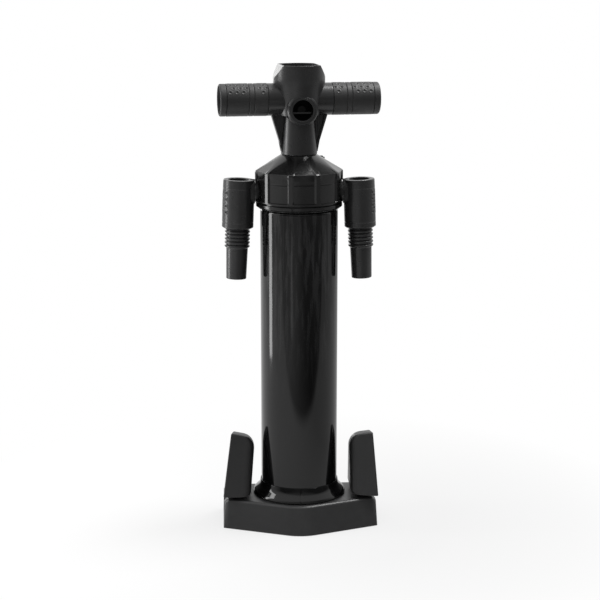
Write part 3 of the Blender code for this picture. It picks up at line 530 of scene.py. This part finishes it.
cap_black = moulded("cap_black_plastic", (0.005, 0.005, 0.005), (0.008, 0.008, 0.008), 0.17, 0.7, 0.01)
cap_outline = refined(rounded(
    [(16.4, CAP_TOP), (18.4, CAP_TOP), (CAP_RADIUS, CAP_EAVES), (CAP_RADIUS, 341.2), (42.4, 340.7),
     (42.4, 339.7), (44.4, 339.3), (44.4, 335.8), (37.2, 335.8), (37.2, 318.3), (35.2, 318.3), (35.2, 339.0),
     (40.4, 343.0), (40.4, 369.4), (19.5, 381.0), (19.5, 371.5), (16.4, 371.5)],
    np.array([.3, .5, 1.2, .5, .2, .2, .5, .4, .3, .3, .3, .3, .5, .5, .5, .3, .3]), 3), 0.5, 0.0, 75.0)
cap = shell("cap_moulding", [ribbed(looped(cap_outline))], cap_black, 28.0)
ports = turned(axled([(0, -60.0), (PORT_HOLE, -60.0), (PORT_HOLE, -40.0), (0, -40.0)], 0.0), 96)[..., ALONG_X]
ports = [ports + (0, 0, PORT_Z), ports * (-1, 1, 1) + (0, 0, PORT_Z)]
seat = turned([(0, PLUG_SEAT), (8.3, PLUG_SEAT), (8.3, 400.0), (0, 400.0)], 96) + PLUG_AT
boss = turned(axled([(0, 368.0), (9.6, 368.0), (9.6, PLUG_SEAT), (0, PLUG_SEAT)], 0.5), 96) + PLUG_AT
carved(cap, "UNION", [boss])
carved(cap, "DIFFERENCE", [*ports, seat])
fit(cap, "pump_body", "cap_black", "cap")

# Mode plug: small black knob with a finger bar, which turns a quarter in its boss on the cap's roof.
# From the front only its rim shows, behind the neck on the right.
satin_black = moulded("satin_black_plastic", (0.0235, 0.0235, 0.024), (0.0325, 0.0325, 0.033), 0.29, 0.6, 0.03)
knob_outline = axled([(0, -6.0), (5.0, -6.0), (5.0, 0.3), (8.0, 0.3), (8.0, 3.6), (0, 3.6)], 0.9)
finger_bar = plate(rounded([(-6, 2.6), (6, 2.6), (6, 4.8), (-6, 4.8)], 0.8), -1.3, 1.3, 0.5)
plug_grids = [grid + PLUG_AT + (0, 0, PLUG_SEAT) for grid in (turned(knob_outline, 72), finger_bar)]
plug = shell("mode_plug_knob", plug_grids, satin_black, 35.0)
fit(plug, "mode_plug", "satin_black", "mode_plug")

# Elbows: satin black hose fittings on the cap's two ports. Each has an open socket on top, five
# sealing rings and a tapered spigot below, and small round pits on its outer side. A sleeve in the
# dark rubber finish covers each stub as far as the cap: painted shade, for the stub lies in shade
# between the elbow and the cap.
ELBOW_X = 62.0
ELBOW_SPLAY = 2.0
PIT_PITCH = 6.66


def pits(across, along, pitch, rows, deep):
    """Round pits on a staggered lattice: rows a step of 1 apart across, and pitch apart along each
    row. Gives how deep the surface is pressed in, and where along its row the nearest pit lies."""
    row = np.round(across)
    stagger = 0.5 * (row % 2)
    step = np.round(along / pitch - stagger) + stagger
    away = np.hypot(along - step * pitch, (across - row) * rows)
    lip = 0.25 * np.exp(-((away - 1.9) / 0.5) ** 2)
    return deep * (np.exp(-(away / 0.95) ** 2) - lip), step * pitch


ring_levels = [-39.4 - 3.8 * ring for ring in range(5)]
ring_outline = [point for level in reversed(ring_levels)
                for point in ((11.25, level - 3.5), (12.95, level - 2.5), (12.95, level - 1.1))]
elbow_corners = [(8.0, -90.5), (10.4, -90.5), (11.15, -59.4), *ring_outline, (11.4, -39.4), (16.2, -36.5),
                 (16.2, -31.9), (15.9, -31.5), (16.2, -31.1), (16.2, 3.1), (15.9, 3.5), (16.2, 3.9),
                 (16.0, 12.5), (10.9, 12.5), (10.9, -12.0), (8.0, -12.0)]
elbow_radii = np.full(len(elbow_corners), 0.45)
elbow_radii[[-3, -4]] = 0.9
elbow_grid = turned(refined(rounded(elbow_corners, elbow_radii, 3), 0.4, 68.0, 118.0), 280)
bearing = np.arctan2(elbow_grid[..., 1], elbow_grid[..., 0])
pit_row = (bearing + 0.681) / 0.245
elbow_pit, pit_level = pits(pit_row, elbow_grid[..., 2] + 14.0, PIT_PITCH, 3.97, 0.8)
on_panel = ((np.hypot(elbow_grid[..., 0], elbow_grid[..., 1]) > 15.8) & (np.abs(np.round(pit_row) - 2.5) < 3)
            & (pit_level > -8.0) & (pit_level < 13.5))
elbow_grid[..., :2] *= (1 - elbow_pit * on_panel / 16.2)[..., None]
# The second shell is the sleeve over the stub, in the dark rubber finish: painted shade.
stub, shade_sleeve = (turned(rounded([(bore, 12.0), (skin, 12.0), (skin, end), (bore, end)], 0.3), 96)[..., ALONG_X]
                * (-1, 1, 1) for bore, skin, end in ((7.4, 10.3, 20.5), (10.35, 12.6, 16.6)))
for name, side in (("left", -1), ("right", 1)):
    port = np.array([side * ELBOW_X, 0, PORT_Z])
    splayed = [swung(grid * (side, 1, 1), -side * ELBOW_SPLAY, "Y") + port for grid in (elbow_grid, stub)]
    elbow = shell(f"{name}_elbow_fitting", splayed, satin_black, 38.0)
    fit(elbow, f"{name}_elbow", "satin_black", f"{name}_elbow")
    # Painted shade: the stub's dark sleeve.
    stub_shade_sleeve = shell(f"{name}_elbow_shade_sleeve", [shade_sleeve * (side, 1, 1) + port], soft_rubber, 38.0)
    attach(stub_shade_sleeve, f"{name}_elbow")

# Rod: drawn aluminium tube, turned smooth and left bare, which slides through the bush in the cap.
# It is hidden while the handle is down, and stands out of the cap when the handle is up.
rod_metal = bare_metal("rod_aluminium_tube", (0.62, 0.63, 0.64), (0.74, 0.75, 0.76), 0.26, 3200.0)
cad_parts["rod"].data.materials[0] = rod_metal

# Handle: one satin black moulding. A round hub with a slanting flat on each side and a shallow recess
# on top runs into the neck, gussets stiffen the grips, and a ring in front holds a blind round socket.
HANDLE_TURN = 7.0
HUB_TOP = 479.3
HUB_FLAT = 19.0
HUB_FLAT_SLOPE = 7.35 / 12.5
GRIP_Z = 444.5
SOCKET_Z = 435.0


def on_handle(grids):
    """The grids turned with the handle, which stands a few degrees round from the base."""
    return [swung(grid, HANDLE_TURN, "Z") for grid in grids]


def hub_grid():
    """The hub's and neck's outline swung round Z, with its half-width held to a line that slants in
    towards the top: radius <= half-width / |cos angle|. The recess in the top keeps inside a rim."""
    outline = axled([(0, 389.1), (18.6, 389.1), (16.2, 428.3), (21.0, 428.5), (26.5, 461.0), (26.5, HUB_TOP),
                     (25.0, HUB_TOP), (24.7, HUB_TOP - 4.5), (0, HUB_TOP - 4.5)],
                    np.array([0, .6, 1.0, .6, 4, .4, .4, .4, 0]))
    grid = turned(refined(outline, 0.6), 288)
    radius = np.hypot(grid[..., 0], grid[..., 1])
    half_width = HUB_FLAT + HUB_FLAT_SLOPE * (HUB_TOP - grid[..., 2])
    in_recess = (radius < 25.3) & (grid[..., 2] > HUB_TOP - 4.6)
    half_width = np.where(in_recess, HUB_FLAT - 1.3, half_width)
    slope = np.abs(np.cos(np.linspace(0, 2 * math.pi, 289)))
    held = softer_of(radius, half_width / np.maximum(slope, 1e-3), 0.15)
    grid[..., :2] *= (np.where(radius > 4.0, held, radius) / np.maximum(radius, 1e-6))[..., None]
    return grid


hub = shell("handle_hub", on_handle([hub_grid()]), satin_black, 35.0)
socket_drill = turned([(0, -40.0), (10.7, -40.0), (10.7, -13.5), (0, -13.5)], 96)[..., ALONG_Y]
carved(hub, "DIFFERENCE", on_handle([socket_drill + (0, 0, SOCKET_Z)]))
fit(hub, "rod_and_handle", "satin_black", "handle_body")
ring_wall = rounded([(10.5, -24.5), (12.2, -24.5), (12.5, -24.0), (12.8, -24.3), (13.9, -24.0), (14.2, -23.3),
                     (14.6, -23.4), (15.8, -21.6), (16.2, -10.0), (10.5, -10.0)],
                    np.array([0.5, 0.3, 0.2, 0.3, 0.3, 0.2, 0.3, 0.8, 0.4, 0.3]))
latch = plate(rounded([(-10.4, 431.2), (10.4, 431.2), (10.4, 433.0), (-10.4, 433.0)], 0.6), -18.5, -15.0, 0.4)
core_outline = axled([(0, 12.0), (16.4, 12.0), (16.4, 33.1), (13.0, 33.1), (13.0, 74.9), (0, 74.9)],
                     np.array([0, 0.3, 0.6, 0.3, 0.3, 0]))
core = turned(core_outline, 128)[..., ALONG_X] + (0, 0, GRIP_Z)
web = [(15.0, 397.0), (18.4, 397.0), (27.8, 428.7), (27.8, 436.0), (15.0, 436.0)]
rim = [(16.2, 391.5), (18.6, 391.5), (18.7, 396.0), (28.7, 428.7), (28.7, 436.0), (27.0, 436.0),
       (27.0, 429.2), (17.0, 396.6)]
ribs = [[(at - 0.4, low), (at + 0.4, low), (at + 0.4, 436.0), (at - 0.4, 436.0)]
        for at, low in ((19.4, 411.0), (21.7, 418.5), (24.0, 426.0))]
gussets = [plate(rounded(np.array(outline) * (side, 1), 0.3), -half, half, 0.3)
           for side in (-1, 1) for outline, half in ((web, 1.2), (rim, 4.0), *((rib, 2.4) for rib in ribs))]
# The socket's inside is lined with a dull near-black sheet: painted shade that keeps it black.
shade_sheet = turned(axled([(0, -13.6), (10.45, -13.6), (10.45, -23.2), (10.1, -23.2), (10.1, -14.2), (0, -14.2)],
                      np.array([0, .1, .1, .1, .3, 0])), 96)[..., ALONG_Y] + (0, 0, SOCKET_Z)
# Painted shade: a dull near-black finish for the sheet inside the socket.
socket_shade_black = moulded("socket_painted_shade", (0.003, 0.003, 0.003), (0.006, 0.006, 0.006), 0.80, 0.5, 0.05,
                      shine=0.1)
socket_shade_sheet = shell("handle_socket_shade_sheet", on_handle([shade_sheet]), socket_shade_black, 38.0)
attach(socket_shade_sheet, "rod_and_handle")
fittings = {"handle_socket_ring": [turned(ring_wall, 120)[..., ALONG_Y] + (0, 0, SOCKET_Z), latch],
            "handle_grip_cores": [core, core * (-1, 1, 1), *gussets]}
for name, grids in fittings.items():
    piece = shell(name, on_handle(grids), satin_black, 38.0)
    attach(piece, "rod_and_handle")
black_steel = bare_metal("blackened_steel", (0.012, 0.012, 0.012), (0.03, 0.03, 0.03), 0.45, 5200.0)
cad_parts["handle_screw"].data.materials[0] = black_steel

# Grips: soft black sleeves pushed over the handle's cores. Two rings are pressed into each, rows of
# small round pits with raised lips fill the bands between, and a dished plug closes each end.
GRIP_RADIUS = 16.5
GRIP_START = 33.4
GRIP_END = 75.2
GRIP_RINGS = (47.3, 52.6)
PIT_FIRST = 35.1
PIT_ROWS = 20
PIT_ROW_AT = 131.0
GRIP_EDGE = 0.4


def sleeve_grid():
    """A sleeve along X: its radius drops in a narrow valley at each ring, and by the pits whose
    middles are inside a band on its upper side."""
    along = np.linspace(GRIP_START, GRIP_END, 160)
    near_end = np.clip(GRIP_EDGE - np.minimum(along - GRIP_START, GRIP_END - along), 0, GRIP_EDGE)
    edge_drop = GRIP_EDGE - np.sqrt(np.maximum(GRIP_EDGE ** 2 - near_end ** 2, 0))
    skin = np.stack([GRIP_RADIUS - edge_drop, along], -1)
    grid = turned(np.concatenate([[(13.3, GRIP_START)], skin, [(13.3, GRIP_END)]]), 340)
    radius = np.hypot(grid[..., 0], grid[..., 1])
    across = (np.degrees(np.arctan2(grid[..., 1], grid[..., 0])) - PIT_ROW_AT) * PIT_ROWS / 360
    at = grid[..., 2]
    pit, pit_at = pits(across, at - PIT_FIRST, PIT_PITCH, 2 * math.pi * GRIP_RADIUS / PIT_ROWS, 0.65)
    banded = (np.abs(pit_at - 4.3) < 4.5) | (np.abs(pit_at - 28.4) < 9.0)
    upper = np.abs(np.round(across) + 2.5) < 4
    valley = sum(0.6 * np.exp(-((at - ring) / 0.4) ** 2) for ring in GRIP_RINGS)
    grid[..., :2] *= (1 - np.where(radius > 15.0, valley + pit * banded * upper, 0) / radius)[..., None]
    return grid[..., ALONG_X] + (0, 0, GRIP_Z)


grip_black = moulded("grip_black_rubber", (0.024, 0.024, 0.024), (0.034, 0.034, 0.034), 0.50, 0.45, 0.04)
plug_outline = axled([(0, 66.0), (8.7, 66.0), (8.7, 75.5), (16.4, 75.5), (16.4, 81.0), (15.5, 82.0),
                      (14.5, 82.0), (13.8, 77.8), (0, 77.8)], np.array([0, .3, .3, .6, .7, .5, .4, .6, 0]))
end_plug = turned(plug_outline, 96)[..., ALONG_X] + (0, 0, GRIP_Z)
sleeve = sleeve_grid()
for name, side in (("left", -1), ("right", 1)):
    for part, grid in (("sleeve", sleeve), ("plug", end_plug)):
        grip = shell(f"{name}_grip_{part}_skin", on_handle([grid * (side, 1, 1)]), grip_black, 40.0)
        fit(grip, "rod_and_handle", "grip_black", f"{name}_grip_{part}")

# Camera at the photograph's angle: a long lens a little left of the middle, looking down slightly.
# It frames the whole pump in a square picture.
CAMERA_AT = (-0.079, -1.638, 0.587)
CAMERA_AIM = (0.001, 0.0, 0.236)
CAMERA_LENS = 96.6
camera_data = bpy.data.cameras.new("camera")
camera_data.lens = CAMERA_LENS
camera_data.sensor_fit = "HORIZONTAL"
camera_data.sensor_width = 36.0
camera_data.clip_end = 50.0
camera = bpy.data.objects.new("camera", camera_data)
bpy.context.scene.collection.objects.link(camera)
bpy.context.scene.camera = camera
look = np.subtract(CAMERA_AIM, CAMERA_AT)
camera.location = CAMERA_AT
camera.rotation_euler = (math.atan2(math.hypot(look[0], look[1]), -look[2]), 0, math.atan2(-look[0], look[1]))

# Studio: a white floor that keeps the pump's soft shadow close to it and is plain white further off,
# a white sky that is dim in front of the pump but for a soft patch overhead, and three soft lamps.
# What the gloss reflects of the floor is painted reflection: darker in front, brighter at the left
# and far off, and crossed by one thin pale painted line. The floor's colour for bounced light is
# painted shade: darker in front, at the right and further off.
floor_finish = bpy.data.materials.new("studio_floor")
floor_finish.use_nodes = True
floor_tree = floor_finish.node_tree
floor_shader = floor_tree.nodes["Principled BSDF"]
feed(floor_shader, {"Roughness": 0.9, "Specular IOR Level": 0.0})
floor_path = floor_tree.nodes.new("ShaderNodeLightPath")
seen = Wire(floor_path.outputs["Is Camera Ray"])
mirrored = Wire(floor_path.outputs["Is Glossy Ray"])
through = Wire(floor_path.outputs["Is Transmission Ray"])
on_floor = Wire(floor_tree.nodes.new("ShaderNodeTexCoord").outputs["Object"])
away = on_floor.node("ShaderNodeVectorMath", {"operation": "LENGTH"}, {0: on_floor}, "Value")
floor_axes = on_floor.node("ShaderNodeSeparateXYZ", {}, {0: on_floor}).socket.node
right_of, ahead = Wire(floor_axes.outputs["X"]), Wire(floor_axes.outputs["Y"]) * -1
off_line = right_of * 0.993 - ahead * 0.122
far_off = (away * 0.25).ramp(0.15, 0.60)
at_left = (0.5 - right_of * 0.5).ramp(0.35, 0.65)
# Painted shade and painted reflection: a wedge in front of the pump where the floor's colour is darker.
in_front = (right_of * 0.122 + ahead * 0.993 - off_line * off_line * 0.16).ramp(0.40, 0.47)
in_front = in_front * (0.88 - far_off * 0.62) * (1 - at_left * 0.25)
# Painted shade: the floor's colour for bounced light, darker in front, at the right and further off.
feed(floor_shader, {"Base Color": (0.40 + at_left * 0.42 - far_off * 0.22) * (1 - in_front)})
white = seen.node("ShaderNodeEmission", {}, {"Color": (1, 1, 1, 1), "Strength": 1.0})
# Painted reflections: what glossy rays see of the floor, lighter at the left and far off, darker in front.
beyond = (away * 0.25).ramp(0.50, 0.62) * (0.2 + at_left * 0.45)
painted_left_light = at_left * (0.75 - far_off * 1.1)
# A thin pale painted line on the floor, seen only in reflections.
painted_line_off = right_of * 0.914 + ahead * 0.407
painted_line_along = ahead * 0.2285 - right_of * 0.10175
painted_line = (1 - painted_line_off * painted_line_off * 260).ramp(0.0, 0.6)
painted_line = painted_line * (painted_line_along.ramp(0.22, 0.25) - painted_line_along.ramp(0.46, 0.49))
shown = seen + through + mirrored * ((1 - in_front) * (0.2 + painted_left_light - far_off * 0.04) + beyond + painted_line)
cover = shown * (0.72 + away.ramp(0.15, 0.40) * 0.28)
painted = seen.node("ShaderNodeMixShader", {}, {0: cover, 1: Wire(floor_shader.outputs[0]), 2: white})
feed(floor_tree.nodes["Material Output"], {"Surface": painted})
reach = np.linspace(-6000.0, 6000.0, 3)
floor_x, floor_y = np.meshgrid(reach, reach, indexing="ij")
floor = shell("studio_floor", [np.stack([floor_x, floor_y, np.full_like(floor_x, -0.2)], -1)], floor_finish)

world = bpy.data.worlds.new("studio_sky")
bpy.context.scene.world = world
world.use_nodes = True
sky = world.node_tree
background = sky.nodes["Background"]
toward = Wire(sky.nodes.new("ShaderNodeTexCoord").outputs["Generated"])
sky_path = sky.nodes.new("ShaderNodeLightPath")
camera_ray, glossy_ray, clear_ray = (Wire(sky_path.outputs[f"Is {kind} Ray"])
                                     for kind in ("Camera", "Glossy", "Transmission"))
split = toward.node("ShaderNodeSeparateXYZ", {}, {0: toward})
across, behind, above = (Wire(split.socket.node.outputs[axis]) for axis in "XYZ")
bright = (0.5 * behind + 0.3 * above - 0.12 * across + 0.5).ramp(0.35, 0.70)
overhead = (0.73 * above - 0.68 * behind).ramp(0.70, 0.95)
dim = 0.12 + bright * 0.83 + overhead * 0.30
sky_shown = camera_ray + clear_ray + glossy_ray * bright
feed(background, {"Color": (1, 1, 1, 1), "Strength": dim * (1 - sky_shown) + sky_shown})

for lamp_name, lamp_at, lamp_size, lamp_power in (
        ("left_softbox", (-0.66, 0.05, 0.36), (0.14, 0.72), 2.1),
        ("top_softbox", (0.6, 0.15, 1.7), (0.5, 0.5), 17.0),
        ("rim_softbox", (-0.58, 1.49, 0.57), (0.35, 0.6), 1.8)):
    lamp_data = bpy.data.lights.new(lamp_name, "AREA")
    lamp_data.shape = "RECTANGLE"
    lamp_data.size, lamp_data.size_y = lamp_size
    lamp_data.energy = lamp_power
    lamp = bpy.data.objects.new(lamp_name, lamp_data)
    bpy.context.scene.collection.objects.link(lamp)
    lamp.location = lamp_at
    lamp.visible_camera = False
    to_pump = np.subtract((0, 0, 0.24), lamp_at)
    lamp.rotation_euler = (math.atan2(math.hypot(to_pump[0], to_pump[1]), -to_pump[2]), 0,
                           math.atan2(-to_pump[0], to_pump[1]))

bpy.context.scene.view_settings.view_transform = "Standard"
